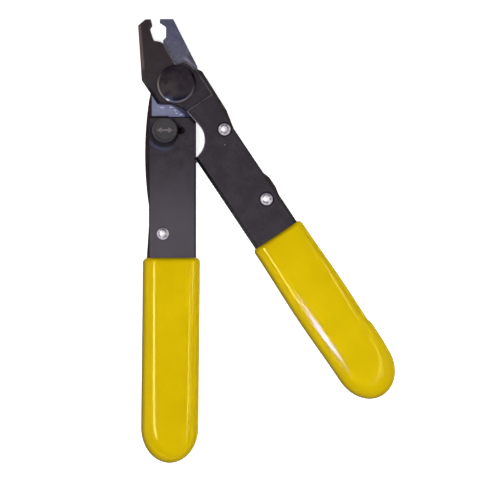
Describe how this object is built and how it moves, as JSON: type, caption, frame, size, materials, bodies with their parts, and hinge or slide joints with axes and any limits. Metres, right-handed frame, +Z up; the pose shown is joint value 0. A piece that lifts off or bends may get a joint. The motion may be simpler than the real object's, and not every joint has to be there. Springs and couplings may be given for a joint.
{
  "type": "fibre ribbon access tool",
  "caption": "Flat steel hand tool with crossing levers, notched jaws that open a fibre ribbon, a sliding stop with a thumb nut, and dipped grips.",
  "frame": {"origin": "on the pivot axis, in the plane that the tool rests on", "axes": "+Z up through the tool's face, +Y from the pivot to the jaws, +X towards the right handle"},
  "size_m": [0.0771, 0.1329, 0.0093],
  "materials": {
    "black_steel": "black oxide, satin",
    "ground_steel": "ground",
    "pivot_steel": "turned and blackened, bright on its rim",
    "bright_rivet": "polished",
    "plain_steel": "plain",
    "spring_steel": "tempered",
    "bronze_bush": "sintered",
    "black_knob": "moulded",
    "yellow_grip": "dipped, glossy"
  },
  "bodies": {
    "back_half": {"back_lever": "ground_steel", "left_cover_plate": "black_steel", "left_handle_rivet": "bright_rivet", "left_tail_rivet": "plain_steel", "left_grip": "yellow_grip", "pivot_rivet": "pivot_steel", "pivot_washer": "plain_steel", "pivot_tail_ring": "pivot_steel", "return_spring": "spring_steel"},
    "front_half": {"front_lever": "black_steel", "right_cover_plate": "black_steel", "right_upper_rivet": "bright_rivet", "right_lower_rivet": "bright_rivet", "right_tail_rivet": "plain_steel", "right_grip": "yellow_grip", "pivot_bush": "bronze_bush"},
    "stop_slider": {"stop_stud": "plain_steel", "stop_collar": "plain_steel", "stop_washer": "plain_steel"},
    "stop_knob": {"stop_knob": "black_knob"}
  },
  "joints": [
    {"name": "squeeze", "type": "hinge", "parent": "back_half", "child": "front_half", "pos_m": [0, 0, 0], "axis": [0, 0, -1], "range_deg": [0, 15], "stiffness_Nm_per_rad": 0.6, "deforming": ["return_spring"]},
    {"name": "stop_slide", "type": "slide", "parent": "back_half", "child": "stop_slider", "axis": [1, 0, 0], "range_m": [0, 0.005]},
    {"name": "knob_turn", "type": "hinge", "parent": "stop_slider", "child": "stop_knob", "pos_m": [-0.0033, -0.01395, 0.00735], "axis": [0, 0, 1], "range_deg": [0, 180]}
  ]
}
